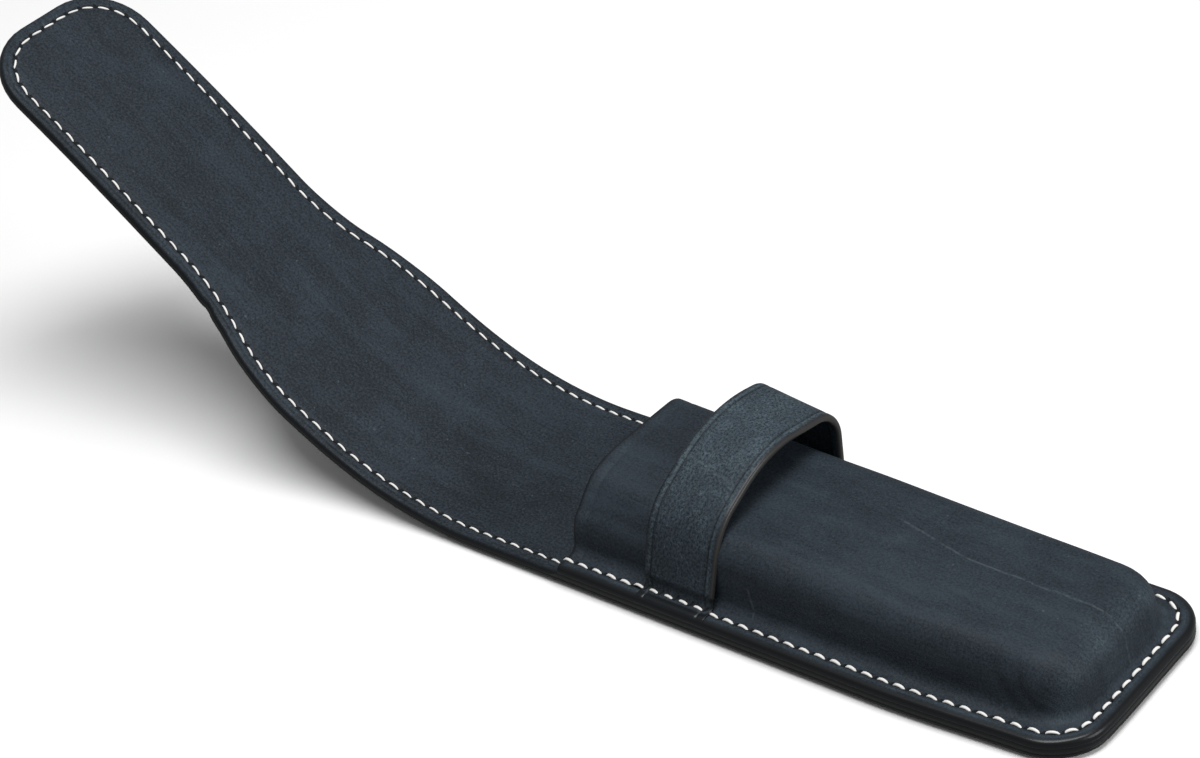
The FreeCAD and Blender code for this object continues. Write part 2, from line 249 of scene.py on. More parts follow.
BOTTOM, HALF_WIDTH, GLUE_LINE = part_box("outer_back")[1]
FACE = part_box("lining_back")[1][2]
FLAP_LENGTH = 192 * MM
TONGUE_HALF_WIDTH = 21.5 * MM
SHOULDER_START = 90.8 * MM
SHOULDER_END = 112.9 * MM
BOTTOM_ROUND = 11.5 * MM
SHOULDER_ROUND = (73.3 * MM, 66.7 * MM)
TIP_ROUND = 15.5 * MM
EDGE_ROUND = 1.25 * MM
HEEL_REACH = 2.6 * MM
HEEL_DROP = 0.58
SEAM_GROOVE = 0.28 * MM
CREASE_INSET = 1.85 * MM
CREASE_DEPTH = 0.12 * MM
STITCH_PITCH = 3.9 * MM
STITCH_RUN_UNIT = 0.01 * MM
NICK_PLACE = -111 * MM
NICK_DEPTH = 0.6 * MM
SLACK = 0.22 * MM
CORNER_TRIM = 2.2 * MM
# Edges that are as good as sharp where two layers meet, and the least round that is worked on
SHARP = 0.1 * MM
WORKED_ROUND = 0.5 * MM
# Faces are close together along the edge and the seam, and further apart over the rest
RINGS = [0.10, 0.25, 0.5, 0.85, 1.25, 1.65, 1.85, 2.05, 2.7, 3.0, 3.3, 3.6, 3.9, 5.5]
FLAP_GRID = 2.6 * MM
POCKET_GRID = 4 * MM
GRID_ACROSS = 4.8 * MM


def straight(start, stop, step):
    count = max(1, math.ceil((stop - start).length / step))
    return [start.lerp(stop, index / count) for index in range(count + 1)]


def rounded_path(corners, step):
    """Points along an open line whose corners are rounded to arcs."""
    points = [Vector(corners[0][:2])]
    for before, here, after in zip(corners, corners[1:], corners[2:]):
        spot = Vector(here[:2])
        back = (Vector(before[:2]) - spot).normalized()
        ahead = (Vector(after[:2]) - spot).normalized()
        half = back.angle(ahead) / 2
        centre = spot + (back + ahead).normalized() * (here[2] / math.sin(half))
        first = spot + back * (here[2] / math.tan(half)) - centre
        last = spot + ahead * (here[2] / math.tan(half)) - centre
        points.extend(straight(points[-1], centre + first, step)[1:])
        turn = first.angle_signed(last)
        count = max(3, math.ceil(abs(turn) * here[2] / step))
        for index in range(1, count + 1):
            points.append(centre + Matrix.Rotation(-turn * index / count, 2) @ first)
    points.extend(straight(points[-1], Vector(corners[-1][:2]), step)[1:])
    return points


def runs_of(line):
    """How far along a line each of its points lies."""
    runs = [0]
    for here, after in zip(line, line[1:]):
        runs.append(runs[-1] + (after - here).length)
    return runs


def points_at(line, distances):
    """Points at rising distances along a line."""
    runs = runs_of(line)
    points, index = [], 0
    for distance in distances:
        while index < len(line) - 2 and runs[index + 1] < distance:
            index += 1
        share = (distance - runs[index]) / (runs[index + 1] - runs[index])
        points.append(line[index].lerp(line[index + 1], share))
    return points


def both_sides(half_line):
    """A line on one side of the case, and on to its start's mirror image on the other."""
    return half_line + [Vector((place.x, -place.y)) for place in half_line[-2::-1]]


def seam_line():
    """The seam's flat line: the case's outline, drawn in by the seam's inset."""
    side = [
        (BOTTOM - SEAM_INSET, 0, 0),
        (BOTTOM - SEAM_INSET, HALF_WIDTH - SEAM_INSET, BOTTOM_ROUND - SEAM_INSET),
        (-SHOULDER_START, HALF_WIDTH - SEAM_INSET, SHOULDER_ROUND[0] - SEAM_INSET),
        (-SHOULDER_END, TONGUE_HALF_WIDTH - SEAM_INSET, SHOULDER_ROUND[1] + SEAM_INSET),
        (SEAM_INSET - FLAP_LENGTH, TONGUE_HALF_WIDTH - SEAM_INSET, TIP_ROUND - SEAM_INSET),
        (SEAM_INSET - FLAP_LENGTH, 0, 0),
    ]
    return both_sides(rounded_path(side, 0.2 * MM))


seam = seam_line()
seam_runs = runs_of(seam)
stitch_count = round(seam_runs[-1] / STITCH_PITCH)
stitch_step = seam_runs[-1] / stitch_count
seam_tree = KDTree(len(seam))
for place, run in zip(seam, seam_runs):
    seam_tree.insert((place.x, place.y, 0), round(min(run, seam_runs[-1] - run) / STITCH_RUN_UNIT))
seam_tree.balance()


def stitch_number(place):
    """How many stitches lie between the bottom's middle and the seam's nearest place."""
    return seam_tree.find((place.x, place.y, 0))[1] * STITCH_RUN_UNIT / stitch_step


def round_corner(bm, corner, radius, segments):
    """Round a flat outline's corner to an arc."""
    sides = [edge.other_vert(corner).co - corner.co for edge in corner.link_edges]
    reach = radius / math.tan(sides[0].angle(sides[1]) / 2)
    bmesh.ops.bevel(bm, geom=[corner], offset=reach, segments=segments, profile=0.5,
                    affect="VERTICES", material=-1)


def add_rings(bm, face, depths, layer):
    """Rings of faces along an outline, each reaching to its depth in from the edge."""
    reached = 0
    for depth in depths:
        bmesh.ops.inset_region(bm, faces=[face], thickness=depth - reached,
                               use_even_offset=True, use_boundary=True)
        for vertex in face.verts:
            vertex[layer] = depth
        reached = depth


def cut_across(bm, places, axis):
    """Cut the whole mesh at each place along an axis."""
    normal = Vector([float(axis == index) for index in range(3)])
    for place in places:
        everything = bm.verts[:] + bm.edges[:] + bm.faces[:]
        bmesh.ops.bisect_plane(bm, geom=everything, plane_co=normal * place, plane_no=normal)


def spaced(start, stop, step):
    """Evenly spaced places inside a span, no further apart than the step."""
    count = max(1, math.ceil((stop - start) / step))
    return [start + (stop - start) * index / count for index in range(1, count)]


def leather_layers(bm):
    """What the leather's material reads at each corner of the mesh, and the hide's flat map."""
    # The groove mask holds painted shade and the ridge mask a painted highlight
    names = ["inset", "edge", "groove", "painted_highlight", "stitch", "raw"]
    layers = [bm.verts.layers.float.new(name) for name in names]
    bm.loops.layers.uv.new("hide")
    return layers


def flat_pattern():
    """The long outline, cut from the hide: rings along its edge and a grid over the rest."""
    bm = bmesh.new()
    leather_layers(bm)
    side = [
        (BOTTOM, HALF_WIDTH, BOTTOM_ROUND, 10),
        (-SHOULDER_START, HALF_WIDTH, SHOULDER_ROUND[0], 8),
        (-SHOULDER_END, TONGUE_HALF_WIDTH, SHOULDER_ROUND[1], 8),
        (-FLAP_LENGTH, TONGUE_HALF_WIDTH, TIP_ROUND, 10),
    ]
    corners = [(x, y, r, n) for x, y, r, n in side] + [(x, -y, r, n) for x, y, r, n in side[::-1]]
    verts = [bm.verts.new((x, y, 0)) for x, y, radius, segments in corners]
    bm.faces.new(verts)
    for vertex, (x, y, radius, segments) in zip(verts, corners):
        round_corner(bm, vertex, radius, segments)
    bm.faces.ensure_lookup_table()
    inset = bm.verts.layers.float["inset"]
    add_rings(bm, bm.faces[0], [depth * MM for depth in RINGS], inset)
    cut_across(bm, spaced(-FLAP_LENGTH, 0, FLAP_GRID) + [0] + spaced(0, BOTTOM, POCKET_GRID), 0)
    cut_across(bm, spaced(-HALF_WIDTH, HALF_WIDTH, GRID_ACROSS) + [0], 1)
    bmesh.ops.remove_doubles(bm, verts=bm.verts, dist=0.02 * MM)
    stitch = bm.verts.layers.float["stitch"]
    for vertex in bm.verts:
        vertex[stitch] = stitch_number(vertex.co)
    return bm


def rounding(depth, radius):
    """How far a rounded edge has dropped at a depth in from it."""
    if depth >= radius or radius <= 0:
        return 0
    return radius - math.sqrt(radius ** 2 - (radius - depth) ** 2)


def dip(distance, half_width):
    """Cross-section of a pressed line: 1 at its middle and 0 from the half width out."""
    return max(0, 1 - abs(distance) / half_width)


def seam_relief(inset):
    """Depth of the seam's groove and of the creased line outside it."""
    groove = SEAM_GROOVE * dip(inset - SEAM_INSET, 0.6 * MM)
    return groove + CREASE_DEPTH * dip(inset - CREASE_INSET, 0.2 * MM)


def part_way(value, start, stop):
    """How far a value has come on its way from the start to the stop, from 0 to 1."""
    return min(1, max(0, (value - start) / (stop - start)))


def soft_step(value, start, stop):
    """The same, with a soft beginning and end."""
    share = part_way(value, start, stop)
    return share * share * (3 - 2 * share)


# The flap's curve at rest, from the frame's own fold lines: its tilt at each length's middle
joint_places = [Vector(joint["pos_m"]) for joint in frame["joints"]]
stations = [-joint_places[0].x]
tilts = []
for here, after in zip(joint_places, joint_places[1:]):
    stations.append(stations[-1] + (after - here).length)
    tilts.append(math.atan2(after.z - here.z, here.x - after.x))
middles = [(a + b) / 2 for a, b in zip(stations, stations[1:])]
BEND_START = stations[0] - (middles[0] - stations[0])
TONGUE_CUT = stations[-1] + 12 * MM
TILT_KNOTS = [(BEND_START, 0)] + list(zip(middles, tilts)) + [
    (TONGUE_CUT, math.radians(39.6)),
    (150 * MM, math.radians(38.4)),
    (FLAP_LENGTH, math.radians(34.0)),
]
CURVE_STEP = 0.5 * MM


def tilt_at(along):
    for (start, low), (stop, high) in zip(TILT_KNOTS, TILT_KNOTS[1:]):
        if along <= stop:
            return low + (high - low) * part_way(along, start, stop)
    return TILT_KNOTS[-1][1]


flap_curve = [Vector((-BEND_START, 0, FACE))]
for index in range(int((FLAP_LENGTH - BEND_START) / CURVE_STEP) + 2):
    tilt = tilt_at(BEND_START + (index + 0.5) * CURVE_STEP)
    flap_curve.append(flap_curve[-1] + CURVE_STEP * Vector((-math.cos(tilt), 0, math.sin(tilt))))


def hand_cut(place):
    """The bottom as it was trimmed by hand: rounder at its near corner, shorter on its far side."""
    inward = CORNER_TRIM * soft_step(place.x, 80 * MM, 129 * MM)
    from_side = inward * soft_step(-place.y, 6 * MM, 28 * MM)
    from_end = inward * 0.25 * soft_step(place.y, -12 * MM, 20 * MM)
    from_end += inward * 0.35 * soft_step(-place.y, 12 * MM, 26 * MM)
    return Vector((place.x - from_end, place.y + from_side, place.z))


def bent(flat):
    """Where a point of the flat leather lies at rest."""
    along = -flat.x
    if along <= BEND_START:
        return hand_cut(flat)
    place = (along - BEND_START) / CURVE_STEP
    index = int(place)
    line = flap_curve[index].lerp(flap_curve[index + 1], place - index)
    tilt = tilt_at(along)
    height = flat.z - FACE
    return Vector((line.x + height * math.sin(tilt), flat.y, line.z + height * math.cos(tilt)))


def waviness(x, y):
    """The hide's slow waves, which fade out where it lies on the table."""
    wave = noise.noise(Vector((x / (38 * MM), y / (24 * MM), 3.7)))
    return SLACK * wave * part_way(x, -26 * MM, -50 * MM)


def finish_edge(vertex, layers, depth):
    """Write how a corner of the mesh is worn and painted with shade and highlight, at its depth in from the
    sewn edge.
    """
    edge, groove, painted_highlight = layers[1:4]
    rubbed = (1.6 - 0.8 * part_way(vertex.co.x, 0, -3 * MM)) * MM
    vertex[edge] = part_way(depth, rubbed, rubbed - 0.6 * MM)
    # Painted shade in the seam's groove, and a painted highlight on the ridge between crease and seam
    vertex[groove] = max(vertex[groove], dip(depth - SEAM_INSET, 0.6 * MM))
    vertex[painted_highlight] = 0.5 * dip(depth - 2.3 * MM, 0.5 * MM)


def leather_layer(pattern, bottom, top, lower_round, upper_round):
    """One layer of the flat pattern, with its thickness, its rounded edges and its curve."""
    bm = pattern.copy()
    layers = bm.verts.layers.float.values()
    inset = layers[0]
    hide = bm.loops.layers.uv["hide"]
    under = set(bm.verts)
    bmesh.ops.extrude_face_region(bm, geom=bm.faces[:], use_keep_orig=True)
    bmesh.ops.recalc_face_normals(bm, faces=bm.faces[:])
    for face in bm.faces:
        face.smooth = True
        for loop in face.loops:
            loop[hide].uv = loop.vert.co.xy
    for vertex in bm.verts:
        x, y, depth = vertex.co.x, vertex.co.y, vertex[inset]
        is_under = vertex in under
        radius = lower_round(x) if is_under else upper_round(x)
        inward = rounding(depth, radius) * (HEEL_DROP if is_under else 1)
        if radius > WORKED_ROUND:
            inward += seam_relief(depth)
        vertex.co.z = (bottom + inward if is_under else top - inward) + waviness(x, y)
        if y < 0:
            vertex.co.y += NICK_DEPTH * dip(x - NICK_PLACE, 2.4 * MM) * dip(depth, 1.6 * MM)
        finish_edge(vertex, layers, depth)
    for vertex in bm.verts:
        vertex.co = bent(vertex.co)
    bm.normal_update()
    return bm


def as_piece(bm, name):
    """Make a finished mesh an object of its own."""
    mesh = bpy.data.meshes.new(name)
    bm.to_mesh(mesh)
    bm.free()
    piece = bpy.data.objects.new(name, mesh)
    bpy.context.scene.collection.objects.link(piece)
    return piece


def length_of(layer, name, low, high):
    """The stretch of a layer between two places along the flap, as a piece with smooth joins."""
    bm = layer.copy()
    hide = bm.loops.layers.uv["hide"]
    normals = [vertex.normal.copy() for vertex in bm.verts]
    order = bm.verts.layers.int.new("order")
    for index, vertex in enumerate(bm.verts):
        vertex[order] = index
    outside = []
    for face in bm.faces:
        middle = sum(loop[hide].uv.x for loop in face.loops) / len(face.loops)
        if not low < -middle < high:
            outside.append(face)
    bmesh.ops.delete(bm, geom=outside, context="FACES")
    kept = [normals[vertex[order]] for vertex in bm.verts]
    bm.verts.layers.int.remove(order)
    piece = as_piece(bm, name)
    piece.data.normals_split_custom_set_from_vertices(kept)
    return piece


BODIES = ["pocket"] + [joint["child"] for joint in frame["joints"]]
CUTS = [BEND_START] + middles + [TONGUE_CUT]
# The stretches between the cuts, from the pocket's bottom to the tongue's tip
STRETCHES = list(zip([-BOTTOM - MM] + CUTS, CUTS + [FLAP_LENGTH + MM]))


def ride_or_bend(piece, number):
    """Stretch 0 rides on the pocket and the last on the tongue; the others bend at their joint."""
    if number == 0:
        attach(piece, "pocket")
    elif number == len(BODIES):
        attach(piece, "tongue")
    else:
        start = bent(Vector((-CUTS[number - 1], 0, FACE)))
        end = bent(Vector((-CUTS[number], 0, FACE)))
        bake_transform(piece, BODIES[number - 1], BODIES[number], start=start, end=end)


def node_name(kind, number):
    """The CAD node that a stretch stands for; the last two stretches stand for the tongue's."""
    if number == 0:
        return "pocket_thread" if kind == "thread" else kind + "_back"
    return "tongue_" + kind if number >= len(BODIES) - 1 else "flap_%s_%d" % (kind, number)


def glued_round(x):
    return SHARP


def outer_round(x):
    return HEEL_REACH


def lining_round(x):
    """Under the pocket's front the lining's edge stays square."""
    return SHARP + (EDGE_ROUND - SHARP) * part_way(x, 0, -2.7 * MM)


pattern = flat_pattern()
layers = {
    "outer": leather_layer(pattern, 0, GLUE_LINE, outer_round, glued_round),
    "lining": leather_layer(pattern, GLUE_LINE, FACE, glued_round, lining_round),
}
finishes = {
    "outer": waxed_leather("outer leather", bloom=0.35, depth=0.5, speckle=1.0),
    "lining": waxed_leather("lining leather", bloom=0.4, depth=0.62, speckle=1.3),
}
for kind, layer in layers.items():
    for number, (low, high) in enumerate(STRETCHES):
        piece = length_of(layer, "%s_leather_%d" % (kind, number), low, high)
        piece.data.materials.append(finishes[kind])
        ride_or_bend(piece, number)
        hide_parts(node_name(kind, number))
    layer.free()
pattern.free()


# Pocket front. One piece of leather, soaked and pressed over a form, then dried: walls that
# flare out to a flange to sew, soft shoulders and a crown that falls to the bottom.

FRONT_THICKNESS = 1.6 * MM
FLANGE_TOP = FACE + FRONT_THICKNESS
FRONT_EDGE_ROUND = 1.3 * MM
FORM_HALF_WIDTH = 21.45 * MM
FORM_END = 124.0 * MM
FORM_CORNER = 9.5 * MM
CROWN_CORNER = 5 * MM
DRAFT = math.radians(6)
FLARE_DEPTH = 3.97 * MM
WALL_INSET = 5 * MM
FLARE_HEIGHT = 2.6 * MM
SHOULDER_HEIGHT = 6.2 * MM
END_SHOULDER = 8.5 * MM
MOUTH_CROWN = 21.6 * MM
BOTTOM_CROWN = 17.0 * MM
MIDDLE_CROWN = (MOUTH_CROWN + BOTTOM_CROWN) / 2
CROWN_BULGE = 0.5 * MM
MOUTH_LEAN = 0.3 * MM
SLUMP = 3.6 * MM
SLUMP_END = 42 * MM
SHOULDER_SLUMP = 0.65
LIP_INSET = 3.2 * MM
LIP_DEPTH = 0.16 * MM
# Folds that the damp leather kept where it was worked round the corner: place and depth
CORNER_FOLDS = [(112.5, 0.45), (117.5, 0.4)]
FOLD_LEAN = 7 * MM
FOLD_HALF_WIDTH = 1.5 * MM


def arc_steps(start, stop, count):
    return [start + (stop - start) * step / count for step in range(1, count + 1)]


def front_section():
    """Rows from the flange's edge to the middle of the crown: half width, end and corner of
    the row's plan, its height, its share of the crown's fall and its share of the slump."""
    rows = []
    for depth in [0] + RINGS[:-1]:
        inset = depth * MM
        rows.append((HALF_WIDTH - inset, BOTTOM - inset, BOTTOM_ROUND - inset, FLANGE_TOP, 0, 0))
    flare = (HALF_WIDTH - FLARE_DEPTH, BOTTOM - FLARE_DEPTH, BOTTOM_ROUND - FLARE_DEPTH)
    foot = (FORM_HALF_WIDTH, FORM_END, FORM_CORNER)
    for angle in arc_steps(-math.pi / 16, math.pi / 2 - DRAFT, 9):
        share = max(0, math.sin(angle)) / math.cos(DRAFT)
        plan = [a + (b - a) * share for a, b in zip(flare, foot)]
        height = FLANGE_TOP + FLARE_HEIGHT * (1 - math.cos(max(0, angle)))
        rows.append((*plan, height, 0, 0))
    wall_foot = rows[-1][3]
    wall_top = MIDDLE_CROWN - SHOULDER_HEIGHT * (1 - math.sin(DRAFT))
    for share in arc_steps(0, 1, 9):
        height = wall_foot + (wall_top - wall_foot) * share
        taken_in = (height - wall_foot) * math.tan(DRAFT)
        plan = [size - taken_in for size in foot]
        rows.append((*plan, height, share, SHOULDER_SLUMP * share ** 3))
    side_centre = plan[0] - SHOULDER_HEIGHT * math.cos(DRAFT)
    end_centre = plan[1] - END_SHOULDER * math.cos(DRAFT)
    for angle in arc_steps(DRAFT, math.pi / 2, 10):
        half_width = side_centre + SHOULDER_HEIGHT * math.cos(angle)
        end = end_centre + END_SHOULDER * math.cos(angle)
        corner = CROWN_CORNER + (plan[2] - CROWN_CORNER) * math.cos(angle)
        height = MIDDLE_CROWN - SHOULDER_HEIGHT * (1 - math.sin(angle))
        slump = SHOULDER_SLUMP + (1 - SHOULDER_SLUMP) * math.sin(2 * angle)
        rows.append((half_width, end, corner, height, 1, slump))
    for share in arc_steps(0, 1, 10):
        half_width = side_centre * (1 - share)
        end = end_centre - side_centre * share
        corner = CROWN_CORNER * (1 - share)
        slump = SHOULDER_SLUMP * (1 - share) ** 2.5
        rows.append((half_width, end, corner, MIDDLE_CROWN, 1, slump))
    return rows


# Columns of faces, in order from the mouth: close ones at its edge and at the lip's line, then
# even ones along the side, round the corner and to the bottom's middle
SIDE_COLUMNS = [0, 0.12, 0.35, 0.75, 1.6, 2.9, 3.2, 3.5, 4.4]
EVEN_COLUMNS = 76
CORNER_COLUMNS = 18
END_COLUMNS = 14


def mouth_place(height):
    """The mouth's edge leans back as it climbs the wall."""
    share = part_way(height, FLANGE_TOP, FLANGE_TOP + 14 * MM)
    return MOUTH_LEAN * share * share


def u_line(half_width, end, corner, start):
    """Points along one U from the mouth to the middle of the bottom, on the -Y side."""
    corner = min(corner, half_width)
    places = [Vector((start + column * MM, -half_width)) for column in SIDE_COLUMNS]
    last = places[-1].x
    for share in arc_steps(0, 1, EVEN_COLUMNS):
        places.append(Vector((last + (end - corner - last) * share, -half_width)))
    for angle in arc_steps(0, math.pi / 2, CORNER_COLUMNS):
        places.append(Vector((end - corner + corner * math.sin(angle),
                              -half_width + corner * (1 - math.cos(angle)))))
    for share in arc_steps(0, 1, END_COLUMNS):
        places.append(Vector((end, (-half_width + corner) * (1 - share))))
    return places


def crown_fall(x):
    """How far the crown stands above its own middle height."""
    return (MOUTH_CROWN - BOTTOM_CROWN) * (0.5 - x / FORM_END)


def folded(place, height):
    """Depth of the folds at the corner, which fade out at the foot and on the crown."""
    climbed = (height - FLANGE_TOP) / (MIDDLE_CROWN - FLANGE_TOP)
    shown = max(0, math.sin(math.pi * climbed)) * soft_step(-place.y, 8 * MM, 14 * MM)
    leant = place.x + FOLD_LEAN * climbed
    return shown * sum(depth * MM * dip(leant - fold_x * MM, FOLD_HALF_WIDTH)
                       for fold_x, depth in CORNER_FOLDS)


def shape_front(place, height, share, slump):
    """Where a place of a row's plan lies on the dried leather."""
    x, y = place
    across = y / FORM_HALF_WIDTH
    z = height + crown_fall(x) * share + CROWN_BULGE * (0.4 - across ** 2) * share
    z += 0.22 * MM * noise.noise(Vector((x / (22 * MM), y / (13 * MM), 8.1))) * share
    sunk = SLUMP * slump * soft_step(x, SLUMP_END, 0) if y < 0 else 0
    fold = folded(place, height)
    return Vector((x - fold * 0.5, y + sunk * 0.75 + fold, z - sunk * 0.65))


def flesh_side(bm):
    """Copy the leather's grain side, facing the other way, and return the copy's corners."""
    copied = bmesh.ops.duplicate(bm, geom=bm.verts[:] + bm.edges[:] + bm.faces[:])["geom"]
    faces = [item for item in copied if isinstance(item, bmesh.types.BMFace)]
    bmesh.ops.reverse_faces(bm, faces=faces)
    return [item for item in copied if isinstance(item, bmesh.types.BMVert)]


def close_rims(bm):
    """Join the leather's two sides all along their open edges."""
    bmesh.ops.bridge_loops(bm, edges=[edge for edge in bm.edges if edge.is_boundary])
    for face in bm.faces:
        face.smooth = True


def build_front():
    """The moulded leather: a grid of rows and columns, its flesh side and its worked edges."""
    section = front_section()
    walked = runs_of([Vector((row[0], row[3])) for row in section])
    rows, flat_rows = [], []
    for (half_width, end, corner, height, share, slump), walk in zip(section, walked):
        line = both_sides(u_line(half_width, end, corner, mouth_place(height)))
        rows.append([shape_front(place, height, share, slump) for place in line])
        wider = walked[-1] - walk - half_width
        flat_rows.append(both_sides(u_line(half_width + wider, end + wider, corner + wider, 0)))
    columns = len(rows[0])
    bm = bmesh.new()
    layers = leather_layers(bm)
    inset, edge, groove, painted_highlight, stitch = layers[:5]
    mouth = bm.verts.layers.float.new("mouth")
    hide = bm.loops.layers.uv["hide"]
    bmesh.ops.create_grid(bm, x_segments=columns - 1, y_segments=len(rows) - 1, size=1)
    bm.verts.ensure_lookup_table()
    flat_place = {}
    for number, vertex in enumerate(bm.verts):
        row, column = divmod(number, columns)
        vertex.co = rows[row][column]
        vertex[inset] = HALF_WIDTH - section[row][0]
        vertex[stitch] = stitch_number(vertex.co)
        # Painted shade in the folds at the near corner
        vertex[groove] = min(0.75, folded(vertex.co.xy, section[row][3]) / MM)
        from_mouth = min(column, columns - 1 - column)
        vertex[mouth] = SIDE_COLUMNS[from_mouth] * MM if from_mouth < len(SIDE_COLUMNS) else 1
        flat_place[number] = flat_rows[row][column]
    bm.normal_update()
    if sum(face.normal.z for face in bm.faces) < 0:
        bmesh.ops.reverse_faces(bm, faces=bm.faces[:])
    for face in bm.faces:
        for loop in face.loops:
            loop[hide].uv = flat_place[loop.vert.index]
    bmesh.ops.remove_doubles(bm, verts=bm.verts, dist=0.01 * MM)
    bm.normal_update()
    inner = set(flesh_side(bm))
    for vertex in inner:
        vertex.co += vertex.normal * FRONT_THICKNESS
    close_rims(bm)
    bm.normal_update()
    for vertex in bm.verts:
        depth = vertex[inset]
        finish_edge(vertex, layers, depth)
        if vertex not in inner:
            vertex.co.z -= rounding(depth, FRONT_EDGE_ROUND) + seam_relief(depth)
            if depth > WALL_INSET:
                vertex.co -= vertex.normal * LIP_DEPTH * dip(vertex[mouth] - LIP_INSET, 0.4 * MM)
                # Painted highlight on the ridge along the mouth and across the shoulder at the bottom's end
                vertex[painted_highlight] = 0.4 * dip(vertex[mouth] - 2.2 * MM, 1.0 * MM)
                vertex[painted_highlight] += 0.5 * dip(vertex.co.x - 121.5 * MM, 4.5 * MM)
        vertex[edge] = max(vertex[edge], dip(vertex[mouth], 0.8 * MM))
        vertex.co = hand_cut(vertex.co)
    return as_piece(bm, "pocket_front_leather")


# The long scratch down the crown and over the bottom, and a short one on the near wall
FRONT_SCRATCHES = [
    ((67.5, 5.9), (85.0, 2.3), 0.42),
    ((84.0, 2.4), (107.0, 2.2), 0.36),
    ((106.0, 2.3), (134.0, 2.6), 0.40),
    ((46.9, -26.0), (48.4, -32.0), 0.35),
]

front = build_front()
front_leather = waxed_leather("moulded front leather", 0.35, 0.4, 0.9, FRONT_SCRATCHES)
front.data.materials.append(front_leather)
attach(front, "pocket")
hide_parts("pocket_front")


# Keeper strap. A strap arched over the pocket for the tongue to pass under; its two long
# edges are creased and rubbed round, and its ends are pared thin and sewn under the seam.

strap_low, strap_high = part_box("keeper_strap")
STRAP_START = strap_low[0]
STRAP_END = strap_high[0]
STRAP_THICKNESS = 1.8 * MM
PARED_AT_RIM = 0.2 * MM
PARED_AT_SEAM = 0.45 * MM
STRAP_LEVEL = FLANGE_TOP + STRAP_THICKNESS / 2
# Its middle line along the mouth's side and along the bottom's: where it stands up from the
# flange, then the corners of its arch with their rounding
FOOT_ROUND = 2 * MM
MOUTH_SIDE_PATH = [
    (-24.2 * MM, STRAP_LEVEL, FOOT_ROUND),
    (-19.9 * MM, 19.5 * MM, 16 * MM),
    (4.9 * MM, 31.8 * MM, 37 * MM),
    (25.2 * MM, 27.2 * MM, 6 * MM),
    (24.4 * MM, STRAP_LEVEL, FOOT_ROUND),
]
BOTTOM_SIDE_PATH = [
    (-24.2 * MM, STRAP_LEVEL, FOOT_ROUND),
    (-18.0 * MM, 22.0 * MM, 14 * MM),
    (0.5 * MM, 30.4 * MM, 30 * MM),
    (25.0 * MM, 25.6 * MM, 8 * MM),
    (24.4 * MM, STRAP_LEVEL, FOOT_ROUND),
]
# The near end was sewn down a little nearer to the bottom than the arch stands
STRAP_SKEW = 1.4 * MM
SPREAD = 1.2 * MM
STRAP_COLUMNS = 124
# Across the strap: distance from its edge, closest where the edge is rounded and creased
STRAP_SECTION = [0, 0.08, 0.25, 0.5, 0.9, 1.4, 1.75, 1.95, 2.15, 2.6]
STRAP_EDGE_ROUND = 0.75 * MM
STRAP_CREASE = 0.2 * MM
STRAP_CREASE_INSET = 1.95 * MM


def strap_path(arch):
    """The strap's middle line, from the rim on the near side to the rim on the far side."""
    corners = [(-HALF_WIDTH, STRAP_LEVEL, 0), *arch, (HALF_WIDTH, STRAP_LEVEL, 0)]
    line = rounded_path(corners, 0.3 * MM)
    length = runs_of(line)[-1]
    return points_at(line, [length * step / STRAP_COLUMNS for step in range(STRAP_COLUMNS + 1)])


def pared_thickness(from_edge):
    """The strap's thickness over the flange: thin at the rim and whole past the seam."""
    thin = PARED_AT_RIM + (PARED_AT_SEAM - PARED_AT_RIM) * from_edge / SEAM_INSET
    return thin + (STRAP_THICKNESS - thin) * part_way(from_edge, 4.1 * MM, 5.4 * MM)


